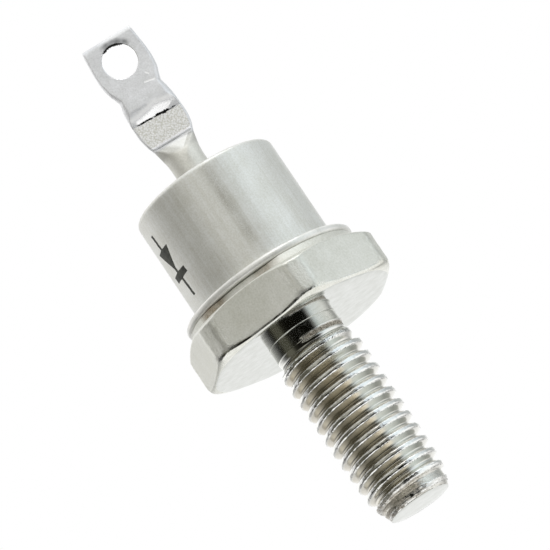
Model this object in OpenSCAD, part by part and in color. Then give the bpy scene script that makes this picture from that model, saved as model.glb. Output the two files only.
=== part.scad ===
// Stud-mounted rectifier diode in a sealed metal case, in millimetres.
// +Z runs along the axis towards the terminal lug, and z = 0 is the seating face of the hexagon.
// The lug's flat faces look along -Y and +Y.

/* [Hexagon base] */
// Distance across the flats
hex_af = 10.95; // [10.4:0.05:12]
// Height of the hexagon from its seating face to its top
hex_h = 2.55; // [2:0.05:4]
// How far the sharp corners are turned down, measured along the radius
hex_corner_cut = 0.27; // [0.1:0.01:0.45]
// Slope of both corner chamfers against the seating face
hex_chamfer_angle = 30; // [20:1:40]
// Radial width of the chamfer at the corners of the seating side
seat_chamfer_w = 0.40; // [0.1:0.05:0.6]
// Radial width of the chamfer at the corners of the cap side
top_chamfer_w = 0.58; // [0.1:0.02:0.7]
// Turn of the hexagon against the flat of the lug
hex_turn = -14.25; // [-30:0.25:30]
// Depth of the cone-shaped relief in the seating face round the stud
relief_depth = 0.15; // [0.05:0.01:0.3]
// How far the relief reaches past the thread, so that a plate clears the thread and lies flat
relief_margin = 0.05; // [0.02:0.01:0.3]

/* [Stud] */
// Major diameter of the stud's thread
stud_d = 4.70; // [4.5:0.05:5.1]
// Length of the stud below the seating face
stud_len = 11.3; // [9:0.1:14]
// Diameter of the plain shank between the thread and the seating face
shank_d = 4.12; // [3.9:0.02:4.3]
// Length of the plain shank
shank_len = 1.35; // [0.8:0.05:2]
// Diameter of the flat at the end of the stud
stud_end_d = 3.70; // [3:0.05:4.2]
// Slope of the lead-in and of the end chamfer, against the axis
stud_chamfer_angle = 42; // [30:1:60]

/* [Base top] */
// Diameter of the raised land that the cap is welded to
land_d = 9.9; // [9.4:0.05:10.3]
// Height of that land
land_h = 0.30; // [0.2:0.05:0.6]
// Diameter of the pedestal that carries the die
pedestal_d = 6.0; // [4.5:0.1:7]
// Height of the pedestal above the land
pedestal_h = 0.6; // [0.3:0.05:1.2]

/* [Cap] */
// Outer diameter of the drawn can
cap_d = 8.50; // [8.2:0.05:9]
// Height of the cap from the underside of its flange
cap_h = 6.99; // [6:0.05:9]
// Wall thickness of the can
cap_wall = 0.40; // [0.25:0.05:0.55]
// Thickness of the cap's top
cap_top_t = 0.55; // [0.4:0.05:0.8]
// Outer radius along the top edge
cap_edge_r = 0.30; // [0.15:0.05:0.5]
// Diameter of the weld flange
flange_d = 10.38; // [10:0.02:10.9]
// Thickness of the weld flange
flange_t = 0.60; // [0.4:0.05:0.8]
// Radius along both edges of the flange's rim
flange_edge_r = 0.18; // [0.05:0.01:0.19]
// Radius of the fillet between the flange and the can
flange_fillet_r = 0.25; // [0.1:0.05:0.4]
// Bore of the eyelet in the cap's top
eyelet_d = 3.8; // [3.2:0.1:4.6]
// Wall of the eyelet's inward collar
eyelet_wall = 0.35; // [0.25:0.05:0.5]
// Depth of the collar below the cap's top face
eyelet_depth = 1.4; // [1:0.1:2]

/* [Glass seal] */
// How far the glass lies under the cap's top face at the eyelet
glass_sink = 0.06; // [0.02:0.01:0.2]
// How far the glass climbs the tube above the cap's top face
glass_climb = 0.15; // [0.05:0.01:0.3]
// Radial width of that climbing collar of glass
glass_collar_w = 0.30; // [0.1:0.05:0.5]

/* [Die stack] */
// Diameter of the silicon die at its lower face
die_d = 3.2; // [2.4:0.1:4]
// Thickness of the die
die_t = 0.30; // [0.2:0.02:0.4]
// Radial width of the bevel round the die
die_bevel = 0.15; // [0.05:0.01:0.3]
// Thickness of each solder layer
solder_t = 0.10; // [0.05:0.01:0.2]
// How far the lower solder spreads past the die
solder_margin = 0.12; // [0.05:0.01:0.2]

/* [Inner lead] */
// Diameter of the lead's flat head
head_d = 1.9; // [1.4:0.1:2.2]
// Thickness of the head
head_t = 0.35; // [0.2:0.05:0.6]
// Diameter of the lead's wire
lead_d = 0.80; // [0.6:0.02:0.9]
// Play between the wire and the crimped pocket that grips it
lead_play = 0.02; // [0.01:0.01:0.05]

/* [Terminal tube] */
// Outer diameter of the tube
tube_d = 2.0; // [1.8:0.05:2.3]
// Wall of the tube
tube_wall = 0.30; // [0.2:0.02:0.36]
// Length of tube that stands below the glass inside the cap
tube_tail = 0.5; // [0.2:0.05:1]
// Length of round tube from the cap's top to where the press starts to flatten it
stem_len = 1.95; // [1.5:0.05:3]
// Length of the sloping faces between the round tube and the crimp
taper_len = 1.03; // [0.8:0.01:1.6]

/* [Crimp and lug] */
// Width of the crimp
crimp_w = 3.02; // [2.7:0.02:3.3]
// Thickness of the crimp
crimp_t = 0.50; // [0.4:0.02:0.6]
// Length of the crimp's flat
crimp_len = 1.53; // [1:0.01:2]
// Height of the step from the crimp's face to the lug's face
step_h = 0.08; // [0.04:0.01:0.15]
// Thickness of the swell that the press leaves above the crimp
swell_t = 0.96; // [0.7:0.02:1.1]
// Distance from the crimp's upper end to the top of the swell
swell_rise = 0.65; // [0.4:0.05:1]
// Distance from the crimp's upper end to where the swell has sunk to the lug's face
swell_len = 2.4; // [1.8:0.1:2.6]
// Distance from the crimp's upper end to the neck
neck_rise = 1.76; // [1.2:0.02:2.4]
// Width at the neck
neck_w = 2.60; // [2.3:0.02:2.7]
// Distance from the neck to the widest place of the lug
shoulder_len = 1.5; // [1:0.05:2]
// Greatest width of the lug
lug_w = 3.29; // [3.1:0.01:3.6]
// Distance from the widest place to the lug's end
tip_len = 2.02; // [1.8:0.02:2.6]
// Width of the lug at its end
lug_end_w = 2.94; // [2.6:0.02:3.1]
// Length of the rolled-down edge at the lug's end
tip_roll_len = 0.35; // [0.1:0.05:0.4]
// How far each face drops along that edge
tip_roll_drop = 0.12; // [0.02:0.01:0.16]
// Diameter of the eye
eye_d = 2.0; // [1.6:0.05:2.2]
// Distance from the eye's centre to the lug's end
eye_to_tip = 1.6; // [1.4:0.02:1.8]

/* [Hidden] */
// Segments in one full turn of a rounded edge's section
section_segments = 32;
// Segments in each stretch of the terminal's outline
outline_segments = 8;
// Overrun that takes a cut clean through a face
cut_over = 1;
$fn = 96;

nickel = [0.79, 0.78, 0.74];
nickel_bright = [0.83, 0.82, 0.79];
nickel_warm = [0.77, 0.75, 0.69];
glass_grey = [0.42, 0.46, 0.44];
solder_grey = [0.62, 0.62, 0.64];
silicon_grey = [0.30, 0.31, 0.35];
copper = [0.80, 0.50, 0.34];

hex_corner_r = hex_af / 2 / cos(30) - hex_corner_cut;
relief_r = stud_d / 2 + relief_margin;
seat_chamfer_h = seat_chamfer_w * tan(hex_chamfer_angle);
top_chamfer_h = top_chamfer_w * tan(hex_chamfer_angle);

stud_lead_in_h = (stud_d - shank_d) / 2 / tan(stud_chamfer_angle);
stud_end_chamfer_h = (stud_d - stud_end_d) / 2 / tan(stud_chamfer_angle);

land_z = hex_h + land_h;
pedestal_z = land_z + pedestal_h;
base_solder_z = pedestal_z;
die_z = base_solder_z + solder_t;
lead_solder_z = die_z + die_t;
head_z = lead_solder_z + solder_t;

cap_r = cap_d / 2;
flange_top_z = land_z + flange_t;
cap_top_z = land_z + cap_h;
eyelet_bottom_z = cap_top_z - eyelet_depth;

tube_r = tube_d / 2;
tube_bottom_z = eyelet_bottom_z - tube_tail;
taper_z = cap_top_z + stem_len;
crimp_z = taper_z + taper_len;
crimp_top_z = crimp_z + crimp_len;
neck_z = crimp_top_z + neck_rise;
widest_z = neck_z + shoulder_len;
tip_z = widest_z + tip_len;
eye_z = tip_z - eye_to_tip;
lug_t = crimp_t + 2 * step_h;
swell_z = crimp_top_z + swell_rise;
swell_end_z = crimp_top_z + swell_len;
// The crimp is widest in the middle of its flat, and the tube starts to spread just below the sloping faces
crimp_mid_z = crimp_z + crimp_len / 2;
spread_z = taper_z - tube_wall;
// The bore closes below the sloping faces, and a pocket in its end grips the lead
bore_r = tube_r - tube_wall;
pocket_r = lead_d / 2 + lead_play;
bore_top_z = taper_z - tube_wall;
pocket_z = bore_top_z + (bore_r - pocket_r);
pocket_top_z = pocket_z + lead_d / 2;

// Points along an arc of a section, from one angle to another
function arc(centre, r, from, to) =
    let (n = max(1, round(abs(to - from) / 360 * section_segments)))
    [for (i = [0 : n]) let (a = from + (to - from) * i / n) centre + r * [cos(a), sin(a)]];

// Curves of the terminal's front and side outlines, bottom to top, as [half width, height]
function blend_up(z0, z1, w0, w1) =
    [for (i = [0 : outline_segments - 1]) let (s = i / outline_segments)
        [w0 + (w1 - w0) * (1 - cos(180 * s)) / 2, z0 + (z1 - z0) * s]];
function fall_off(z0, z1, w0, w1) =
    [for (i = [0 : outline_segments - 1]) let (s = i / outline_segments)
        [w0 + (w1 - w0) * s * s, z0 + (z1 - z0) * s]];
function swell_up(z0, z1, w0, w1) =
    [for (i = [0 : outline_segments - 1]) let (s = 1 - i / outline_segments)
        [w1 + (w0 - w1) * s * s, z1 + (z0 - z1) * s]];
terminal_outline = concat(
    blend_up(spread_z, crimp_mid_z, tube_r, crimp_w / 2),
    fall_off(crimp_mid_z, neck_z, crimp_w / 2, neck_w / 2),
    swell_up(neck_z, widest_z, neck_w / 2, lug_w / 2),
    fall_off(widest_z, tip_z, lug_w / 2, lug_end_w / 2),
    [[lug_end_w / 2, tip_z]]);

module disc(d, z, h) {
    translate([0, 0, z])
        cylinder(d = d, h = h);
}

// Body of revolution that holds the hexagon's turned corners and both chamfers
module hex_turning() {
    rotate_extrude()
        polygon([
            [0, 0],
            [hex_corner_r - seat_chamfer_w, 0],
            [hex_corner_r, seat_chamfer_h],
            [hex_corner_r, hex_h - top_chamfer_h],
            [hex_corner_r - top_chamfer_w, hex_h],
            [0, hex_h]
        ]);
}

module hexagon() {
    intersection() {
        hex_turning();
        rotate(hex_turn)
            cylinder(d = hex_af / cos(30), h = hex_h, $fn = 6);
    }
}

// Cone that is cut from the seating face before the shank fills its middle
module seat_relief() {
    rotate_extrude()
        polygon([
            [0, -cut_over],
            [relief_r, -cut_over],
            [relief_r, 0],
            [shank_d / 2, relief_depth],
            [0, relief_depth]
        ]);
}

// Shank, thread envelope with its lead-in and the chamfered end
module stud() {
    rotate_extrude()
        polygon([
            [0, hex_h / 2],
            [shank_d / 2, hex_h / 2],
            [shank_d / 2, -shank_len],
            [stud_d / 2, -shank_len - stud_lead_in_h],
            [stud_d / 2, stud_end_chamfer_h - stud_len],
            [stud_end_d / 2, -stud_len],
            [0, -stud_len]
        ]);
}

module stud_base() {
    color(nickel) {
        difference() {
            hexagon();
            seat_relief();
        }
        stud();
        disc(land_d, hex_h / 2, land_z - hex_h / 2);
        disc(pedestal_d, land_z - land_h / 2, pedestal_h + land_h / 2);
    }
}

module base_solder() {
    color(solder_grey)
        disc(die_d + 2 * solder_margin, base_solder_z, solder_t);
}

module silicon_die() {
    color(silicon_grey)
        translate([0, 0, die_z])
            cylinder(d1 = die_d, d2 = die_d - 2 * die_bevel, h = die_t);
}

module lead_solder() {
    color(solder_grey)
        disc(head_d, lead_solder_z, solder_t);
}

// Nail-headed copper lead, with a cone under the wire as the header leaves it
module inner_lead() {
    wire_r = lead_d / 2;
    color(copper)
        rotate_extrude()
            polygon([
                [0, head_z],
                [head_d / 2, head_z],
                [head_d / 2, head_z + head_t / 2],
                [wire_r + head_t / 2, head_z + head_t],
                [wire_r, head_z + 3 / 2 * head_t],
                [wire_r, pocket_top_z - lead_play],
                [0, pocket_top_z - lead_play]
            ]);
}

// Outer outline of the cap from the flange's underside to the axis at its top, then the eyelet and the inside
module cap_section() {
    flange_r = flange_d / 2;
    inner_r = cap_r - cap_wall;
    eyelet_r = eyelet_d / 2;
    polygon(concat(
        [[inner_r, land_z]],
        arc([flange_r - flange_edge_r, land_z + flange_edge_r], flange_edge_r, -90, 0),
        arc([flange_r - flange_edge_r, flange_top_z - flange_edge_r], flange_edge_r, 0, 90),
        arc([cap_r + flange_fillet_r, flange_top_z + flange_fillet_r], flange_fillet_r, 270, 180),
        arc([cap_r - cap_edge_r, cap_top_z - cap_edge_r], cap_edge_r, 0, 90),
        [
            [eyelet_r, cap_top_z],
            [eyelet_r, eyelet_bottom_z],
            [eyelet_r + eyelet_wall, eyelet_bottom_z],
            [eyelet_r + eyelet_wall, cap_top_z - cap_top_t],
            [inner_r, cap_top_z - cap_top_t]
        ]));
}

module cap() {
    color(nickel_bright)
        rotate_extrude()
            cap_section();
}

module glass_seal() {
    glass_z = cap_top_z - glass_sink;
    color(glass_grey)
        rotate_extrude()
            polygon([
                [tube_r, eyelet_bottom_z],
                [eyelet_d / 2, eyelet_bottom_z],
                [eyelet_d / 2, glass_z],
                [tube_r + glass_collar_w, glass_z],
                [tube_r, cap_top_z + glass_climb]
            ]);
}

// Round body with the terminal's front outline, from which the press leaves only a flat slab above the taper
module terminal_turning() {
    rotate_extrude()
        polygon(concat(
            [[0, tube_bottom_z], [tube_r, tube_bottom_z]],
            terminal_outline,
            [[0, tip_z]]));
}

// Space between the press's two jaws, seen from the side
module press_gap() {
    open_y = lug_w;
    slope = taper_len / (tube_r - crimp_t / 2);
    half = concat(
        [
            [open_y, tube_bottom_z - cut_over],
            [open_y, crimp_z - slope * (open_y - crimp_t / 2)],
            [crimp_t / 2, crimp_z]
        ],
        swell_up(crimp_top_z, swell_z, crimp_t / 2, swell_t / 2),
        blend_up(swell_z, swell_end_z, swell_t / 2, lug_t / 2),
        [
            [lug_t / 2, swell_end_z],
            [lug_t / 2, tip_z - tip_roll_len],
            [lug_t / 2 - tip_roll_drop, tip_z]
        ]);
    rotate([90, 0, 90])
        linear_extrude(2 * lug_w, center = true)
            polygon(concat(half, [for (i = [len(half) - 1 : -1 : 0]) [-half[i].x, half[i].y]]));
}

module tube_bore() {
    rotate_extrude()
        polygon([
            [0, tube_bottom_z - cut_over],
            [bore_r, tube_bottom_z - cut_over],
            [bore_r, bore_top_z],
            [pocket_r, pocket_z],
            [pocket_r, pocket_top_z],
            [0, pocket_top_z]
        ]);
}

module terminal_tube() {
    color(nickel_warm)
        difference() {
            intersection() {
                terminal_turning();
                press_gap();
            }
            tube_bore();
            translate([0, 0, eye_z])
                rotate([90, 0, 0])
                    cylinder(d = eye_d, h = lug_t + 2 * cut_over, center = true);
        }
}

stud_base();
base_solder();
silicon_die();
lead_solder();
inner_lead();
cap();
glass_seal();
terminal_tube();
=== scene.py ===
import math

import bmesh
import bpy
import numpy as np
from mathutils import Matrix, Vector, noise


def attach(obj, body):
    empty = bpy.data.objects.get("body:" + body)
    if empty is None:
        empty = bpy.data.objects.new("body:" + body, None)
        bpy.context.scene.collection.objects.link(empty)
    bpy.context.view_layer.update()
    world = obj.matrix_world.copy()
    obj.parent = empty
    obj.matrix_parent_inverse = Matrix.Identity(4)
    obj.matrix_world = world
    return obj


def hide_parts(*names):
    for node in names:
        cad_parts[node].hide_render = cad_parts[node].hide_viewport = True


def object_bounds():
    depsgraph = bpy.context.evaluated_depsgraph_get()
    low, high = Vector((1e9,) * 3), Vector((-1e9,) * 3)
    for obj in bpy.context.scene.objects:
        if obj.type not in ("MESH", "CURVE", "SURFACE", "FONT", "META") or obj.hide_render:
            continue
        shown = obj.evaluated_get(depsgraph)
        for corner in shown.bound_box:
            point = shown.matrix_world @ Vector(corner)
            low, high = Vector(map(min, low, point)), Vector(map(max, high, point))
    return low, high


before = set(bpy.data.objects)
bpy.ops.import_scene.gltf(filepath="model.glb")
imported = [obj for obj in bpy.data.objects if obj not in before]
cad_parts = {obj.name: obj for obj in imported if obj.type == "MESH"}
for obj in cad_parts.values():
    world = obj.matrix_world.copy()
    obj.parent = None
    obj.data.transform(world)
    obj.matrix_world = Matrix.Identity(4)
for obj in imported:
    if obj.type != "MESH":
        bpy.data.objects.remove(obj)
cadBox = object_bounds()
mm = 0.001  # settings are in millimetres and degrees
print("frame loaded with", len(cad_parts), "nodes")


def linear(hexText):  # sRGB hex to the linear values that shaders take
    parts = [int(hexText[i:i + 2], 16) / 255 for i in (1, 3, 5)]
    return tuple(c / 12.92 if c <= 0.04045 else ((c + 0.055) / 1.055) ** 2.4 for c in parts) + (1.0,)


def perMm(size):  # texture scale that gives features of this size
    return 1 / (size * mm)


def wire(tree, node, inputs):  # links from other nodes, and constants on the node's own sockets
    for key, value in inputs.items():
        if isinstance(value, bpy.types.NodeSocket):
            tree.links.new(value, node.inputs[key])
        else:
            node.inputs[key].default_value = value


def addNode(tree, kind, inputs=None, **settings):
    node = tree.nodes.new("ShaderNode" + kind)
    for key, value in settings.items():
        setattr(node, key, value)
    wire(tree, node, inputs or {})
    return node


def newMaterial(name):
    material = bpy.data.materials.new(name)
    material.use_nodes = True
    tree = material.node_tree
    place = addNode(tree, "TexCoord").outputs["Object"]
    return material, tree, tree.nodes["Principled BSDF"], place


def grainOf(tree, place, size, detail=3.0):  # noise with features of this size
    inputs = {"Vector": place, "Scale": perMm(size), "Detail": detail}
    return addNode(tree, "TexNoise", inputs).outputs["Fac"]


def ringsOf(tree, along, size):  # bands of about this width, as the value along them grows
    inputs = {"W": along, "Scale": perMm(size), "Detail": 3.0}
    return addNode(tree, "TexNoise", inputs, noise_dimensions="1D").outputs["Fac"]


def stored(tree, name):  # a value kept at the vertices
    return addNode(tree, "Attribute", attribute_name=name).outputs["Fac"]


def spread(tree, value, low, high, start=0.3, end=0.7):  # from low at start to high at end
    limits = {"From Min": start, "From Max": end, "To Min": low, "To Max": high}
    return addNode(tree, "MapRange", {"Value": value, **limits}).outputs["Result"]


def ramp(tree, value, stops):  # hex texts or grey levels along a value
    node = addNode(tree, "ValToRGB", {"Fac": value})
    elements = node.color_ramp.elements
    while len(elements) < len(stops):
        elements.new(1.0)
    for element, (place, colour) in zip(elements, stops):
        element.position = place
        element.color = linear(colour) if isinstance(colour, str) else (colour, colour, colour, 1.0)
    return node.outputs["Color"]


def tinted(tree, value, dark, light, start=0.3, end=0.7):
    return ramp(tree, value, [(start, dark), (end, light)])


def blend(tree, share, low, high):  # low where the share is 0, high where it is 1
    return addNode(tree, "Mix", {0: share, 2: low, 3: high}).outputs[0]


def mixTint(tree, share, low, high):  # the same for colours, where a hex text will do too
    low, high = (linear(colour) if isinstance(colour, str) else colour for colour in (low, high))
    return addNode(tree, "Mix", {0: share, 6: low, 7: high}, data_type="RGBA").outputs[2]


def maths(tree, operation, one, other):
    return addNode(tree, "Math", {0: one, 1: other}, operation=operation).outputs[0]


def fromAxis(tree, place):  # distance from the part's axis
    flat = addNode(tree, "VectorMath", {0: place, 1: (1, 1, 0)}, operation="MULTIPLY").outputs["Vector"]
    return addNode(tree, "VectorMath", {0: flat}, operation="LENGTH").outputs["Value"]


def bumped(tree, height, strength, distance):
    inputs = {"Height": height, "Strength": strength, "Distance": distance * mm}
    return addNode(tree, "Bump", inputs).outputs["Normal"]


def stretched(tree, place, scale, turn=(0, 0, 0)):
    angles = tuple(math.radians(a) for a in turn)
    return addNode(tree, "Mapping", {"Vector": place, "Scale": scale, "Rotation": angles}).outputs["Vector"]


def wobble(points, size, seed=0.0):  # smooth noise from -1 to 1 with features of about this size
    return np.array([noise.noise(Vector((x / size + seed, y / size, z / size))) for x, y, z in points])


def ease(x, low, high):  # 0 below low, 1 above high, smooth between
    t = np.clip((x - low) / (high - low), 0, 1)
    return t * t * (3 - 2 * t)


def between(x, start, full, wane, end):  # 0 outside start and end, 1 from full to wane
    return ease(x, start, full) * (1 - ease(x, wane, end))


def listed(pairs, x):  # value at x from a list of (place, value), places rising
    return np.interp(x, [a for a, _ in pairs], [b for _, b in pairs])


def after(start, end, count):  # evenly spaced values without the first one
    return np.linspace(start, end, count)[1:]


def softMost(gaps, soft):  # the largest of several distances, with the edges between them rounded
    most = gaps.max(0)
    return most + soft * np.log(np.exp((gaps - most) / soft).sum(0))


def castOut(outside, near, far):  # share along each ray where it leaves the solid, by halving
    for _ in range(34):
        mid = (near + far) / 2
        out = outside(mid) > 0
        near, far = np.where(out, near, mid), np.where(out, mid, far)
    return near


def gridFaces(rows, cols, closed=True):
    i, j = np.meshgrid(np.arange(rows - 1), np.arange(cols if closed else cols - 1), indexing="ij")
    k = (j + 1) % cols
    return np.stack([i * cols + j, i * cols + k, (i + 1) * cols + k, (i + 1) * cols + j], -1).reshape(-1, 4)


def evenly(columns):  # angles once round
    return np.arange(columns) * 2 * math.pi / columns


def revolve(profile, angles):  # rings of a turned piece, from (radius, height) pairs
    r, z = np.array(profile, float).T
    flat = [np.outer(r, np.cos(angles)), np.outer(r, np.sin(angles))]
    return np.stack(flat + [np.outer(z, np.ones(len(angles)))], -1)


def bend(centre, radius, start, end, steps):  # points along an arc of a section
    angles = np.radians(np.linspace(start, end, steps + 1))
    return [(centre[0] + radius * math.cos(a), centre[1] + radius * math.sin(a)) for a in angles]


def makePiece(name, points, faces, materials, stands=(), which=None, values=None):
    mesh = bpy.data.meshes.new(name)
    mesh.from_pydata((np.asarray(points) * mm).tolist(), [], [tuple(f) for f in np.asarray(faces).tolist()])
    for material in materials:
        mesh.materials.append(material)
    if which is not None:
        mesh.polygons.foreach_set("material_index", np.asarray(which, np.int32))
    for key, data in (values or {}).items():
        mesh.attributes.new(key, "FLOAT", "POINT").data.foreach_set("value", np.asarray(data, np.float32))
    work = bmesh.new()
    work.from_mesh(mesh)
    bmesh.ops.remove_doubles(work, verts=work.verts, dist=0.0002 * mm)
    bmesh.ops.dissolve_degenerate(work, edges=work.edges, dist=0.00001 * mm)
    bmesh.ops.recalc_face_normals(work, faces=work.faces)
    work.to_mesh(mesh)
    work.free()
    mesh.polygons.foreach_set("use_smooth", [True] * len(mesh.polygons))
    piece = bpy.data.objects.new(name, mesh)
    bpy.context.scene.collection.objects.link(piece)
    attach(piece, "root")
    if stands:
        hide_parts(*stands)
    print(name, "has", len(mesh.polygons), "faces")


# nickel-plated steel, barrel plated over cold-drawn bar: soft satin grey, frosted on the turned corners
# and burnished along the edges, its grain drawn coarser than real
satinNickel, tree, shader, place = newMaterial("nickel-plated steel, satin")
worn, edge, stain = (stored(tree, name) for name in ("worn", "edge", "stain"))
cloud = grainOf(tree, place, 1.6, 4.0)
grain = grainOf(tree, place, 0.10)
scratch = grainOf(tree, stretched(tree, place, (1, 1, 0.06), (20, 35, 10)), 0.09, 2.0)
mottle = blend(tree, 0.5, cloud, grain)
plate = tinted(tree, mottle, "#d0d0c5", "#ecece6")
brown = tinted(tree, grain, "#64553a", "#a3937a")
depth = blend(tree, edge, spread(tree, worn, 0.23, 1.0, 0.0, 1.0), 0.07)
wire(tree, shader, {
    "Base Color": mixTint(tree, stain, plate, brown),
    "Metallic": blend(tree, edge, 0.52, 1.0),
    "Roughness": blend(tree, edge, spread(tree, mottle, 0.34, 0.46), 0.14),
    "Normal": bumped(tree, blend(tree, 0.25, grain, scratch), depth, 0.03)})

# nickel-plated steel, turned and threaded: nearly a mirror with fine tool rings, crests chafed,
# grooves stained brown, dull where a tool or a knock scuffed it
turnedNickel, tree, shader, place = newMaterial("nickel-plated steel, turned")
crest, groove, scuffed = (stored(tree, name) for name in ("crest", "groove", "scuffed"))
rings = ringsOf(tree, addNode(tree, "SeparateXYZ", {"Vector": place}).outputs["Z"], 0.09)
chafe = grainOf(tree, place, 0.06)
blotch = grainOf(tree, place, 0.5)
stained = maths(tree, "MULTIPLY", spread(tree, blotch, 0.65, 1.0, 0.25, 0.75), groove)
rim = maths(tree, "MULTIPLY", crest, maths(tree, "SUBTRACT", 1.0, crest))  # both edges of a crest
nicks = spread(tree, chafe, 0.0, 1.0, 0.54, 0.60)
nicks = maths(tree, "MULTIPLY", spread(tree, rim, 0.0, 1.0, 0.02, 0.20), nicks)
tint = mixTint(tree, stained, "#e6e6e1", "#d2cab8")
tint = mixTint(tree, crest, tint, "#f3f3f0")
tint = mixTint(tree, scuffed, tint, tinted(tree, chafe, "#5f5443", "#d3ccbf", 0.38, 0.62))
dull = blend(tree, groove, spread(tree, blotch, 0.06, 0.14), 0.25)
dull = blend(tree, crest, dull, 0.11)
depth = spread(tree, crest, 0.0, 0.45, 0.0, 1.0)
depth = maths(tree, "MAXIMUM", spread(tree, rim, 0.05, 0.8, 0.0, 0.25), depth)
depth = maths(tree, "MAXIMUM", depth, spread(tree, scuffed, 0.0, 0.5, 0.0, 1.0))
wire(tree, shader, {
    "Base Color": mixTint(tree, nicks, tint, "#4a4337"),
    "Metallic": blend(tree, scuffed, 1.0, 0.45),
    "Roughness": blend(tree, scuffed, dull, 0.42),
    "Normal": bumped(tree, blend(tree, crest, rings, chafe), depth, 0.014)})

# nickel-plated steel, faced on a lathe: a dull mirror with faint rings about the axis
facedNickel, tree, shader, place = newMaterial("nickel-plated steel, faced")
cloud = grainOf(tree, place, 0.6)
wire(tree, shader, {
    "Base Color": tinted(tree, cloud, "#c0c2bc", "#cfd1cd"),
    "Metallic": 1.0,
    "Roughness": spread(tree, cloud, 0.06, 0.09),
    "Normal": bumped(tree, ringsOf(tree, fromAxis(tree, place), 0.14), 0.008, 0.005)})

# nickel-plated steel, deep drawn: satin with soft lines along the draw, a rubbed, speckled strip, and a
# painted highlight round the flange rim
drawnNickel, tree, shader, place = newMaterial("nickel-plated steel, deep drawn")
rubbed, rim = (stored(tree, name) for name in ("rubbed", "rim"))
lines = grainOf(tree, stretched(tree, place, (1, 1, 0.035)), 0.16, 4.0)
cloud = grainOf(tree, place, 1.2)
grain = grainOf(tree, place, 0.09, 4.0)
gall = spread(tree, grainOf(tree, place, 0.05, 2.0), 0.0, 0.7, 0.40, 0.56)
gall = maths(tree, "MULTIPLY", rubbed, gall)
mottle = blend(tree, 0.3, blend(tree, 0.6, cloud, grain), lines)
tint = tinted(tree, mottle, "#d2d1c8", "#ebece9", 0.36, 0.64)
tint = mixTint(tree, gall, tint, "#b3b0a6")
dull = spread(tree, blend(tree, 0.3, lines, grain), 0.30, 0.43)
depth = spread(tree, rubbed, 0.3, 0.6, 0.0, 1.0)
# the rim value lightens the base colour as a painted highlight on the flange rim
wire(tree, shader, {
    "Base Color": mixTint(tree, rim, tint, "#f6f5f1"),
    "Metallic": blend(tree, gall, 0.5, 0.95),
    "Roughness": blend(tree, gall, dull, 0.28),
    "Normal": bumped(tree, blend(tree, 0.45, lines, grain), depth, 0.012)})

# nickel-plated tube, pressed flat: frosted where it was flattened, scored by the jaws, torn along their
# edge, burnished on the roll above it; near black painted shade and white painted highlights lie on it in
# places
pressedNickel, tree, shader, place = newMaterial("nickel-plated tube, pressed")
pressMarks = ("bitten", "paintedShade", "burnished", "flattened", "paintedHighlight")
bitten, paintedShade, burnished, flattened, paintedHighlight = (stored(tree, name) for name in pressMarks)
jaws = stretched(tree, place, (1, 0.3, 1), (0, 45, 0))
dots = addNode(tree, "TexVoronoi", {"Vector": jaws, "Scale": perMm(0.12), "Randomness": 0.8})
dots = spread(tree, dots.outputs["Distance"], 1.0, 0.0, 0.1, 0.7)
specks = blend(tree, 0.45, dots, grainOf(tree, place, 0.05))
grain = grainOf(tree, place, 0.10)
cloud = grainOf(tree, place, 0.7, 4.0)
mottle = blend(tree, 0.5, cloud, grain)
tubeTint = tinted(tree, mottle, "#cfcec5", "#edece6")
lugTint = tinted(tree, mottle, "#d0d1d2", "#edeef1")
tint = mixTint(tree, flattened, tubeTint, lugTint)
tint = mixTint(tree, bitten, tint, tinted(tree, specks, "#d8d7ce", "#ffffff", 0.22, 0.62))
# white where burnished, and where white highlights are painted
tint = mixTint(tree, maths(tree, "MAXIMUM", burnished, paintedHighlight), tint, "#ffffff")
metal = blend(tree, burnished, blend(tree, flattened, 0.34, 0.28), 1.0)
dull = blend(tree, burnished, spread(tree, cloud, 0.33, 0.44), 0.13)
depth = blend(tree, burnished, spread(tree, bitten, 0.4, 1.0, 0.0, 1.0), 0.1)
wire(tree, shader, {
    # near black where shade is painted: in the tear, under the lip, round the facet, beside the eye and in
    # the eye
    "Base Color": mixTint(tree, paintedShade, tint, "#0e0d0b"),
    "Metallic": blend(tree, paintedHighlight, metal, 0.0),
    "Roughness": blend(tree, paintedShade, dull, 0.9),
    "Normal": bumped(tree, blend(tree, bitten, grain, specks), depth, 0.024)})

# pad-printed epoxy ink: matte charcoal, a little thin in places
padInk, tree, shader, place = newMaterial("epoxy marking ink")
wire(tree, shader, {
    "Base Color": tinted(tree, grainOf(tree, place, 0.25), "#2b2c27", "#4a4b43", 0.35, 0.75),
    "Roughness": 0.6})

# compression glass, fused in place: dark grey-green with a wet gloss and small bubbles
sealGlass, tree, shader, place = newMaterial("fused compression glass")
bubbles = addNode(tree, "TexVoronoi", {"Vector": place, "Scale": perMm(0.35)}).outputs["Distance"]
wire(tree, shader, {
    "Base Color": tinted(tree, bubbles, "#5e6a62", "#39443d", 0.0, 0.35),
    "Roughness": 0.12,
    "IOR": 1.52})

# lead-rich solder: dull grey, cast skin
castSolder, tree, shader, place = newMaterial("lead-rich solder, cast")
wire(tree, shader, {
    "Base Color": tinted(tree, grainOf(tree, place, 0.2, 4.0), "#8d8f92", "#b4b6b8"),
    "Metallic": 1.0,
    "Roughness": 0.45})

# silicon, lapped and etched: blue-black with a grey sheen
lappedSilicon, tree, shader, place = newMaterial("silicon, lapped")
wire(tree, shader, {
    "Base Color": tinted(tree, grainOf(tree, place, 0.15, 4.0), "#383b43", "#50545e"),
    "Metallic": 0.6,
    "Roughness": 0.35})

# copper, headed and annealed: salmon red with darker oxide clouds
headedCopper, tree, shader, place = newMaterial("copper, headed")
wire(tree, shader, {
    "Base Color": tinted(tree, grainOf(tree, place, 0.4, 4.0), "#a9694a", "#d79a76"),
    "Metallic": 1.0,
    "Roughness": 0.3})

innerLooks = {"glass_seal": sealGlass, "base_solder": castSolder, "lead_solder": castSolder,
              "silicon_die": lappedSilicon, "inner_lead": headedCopper}
for name, material in innerLooks.items():
    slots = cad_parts[name].data.materials
    slots.clear()
    slots.append(material)
print("materials made")


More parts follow.
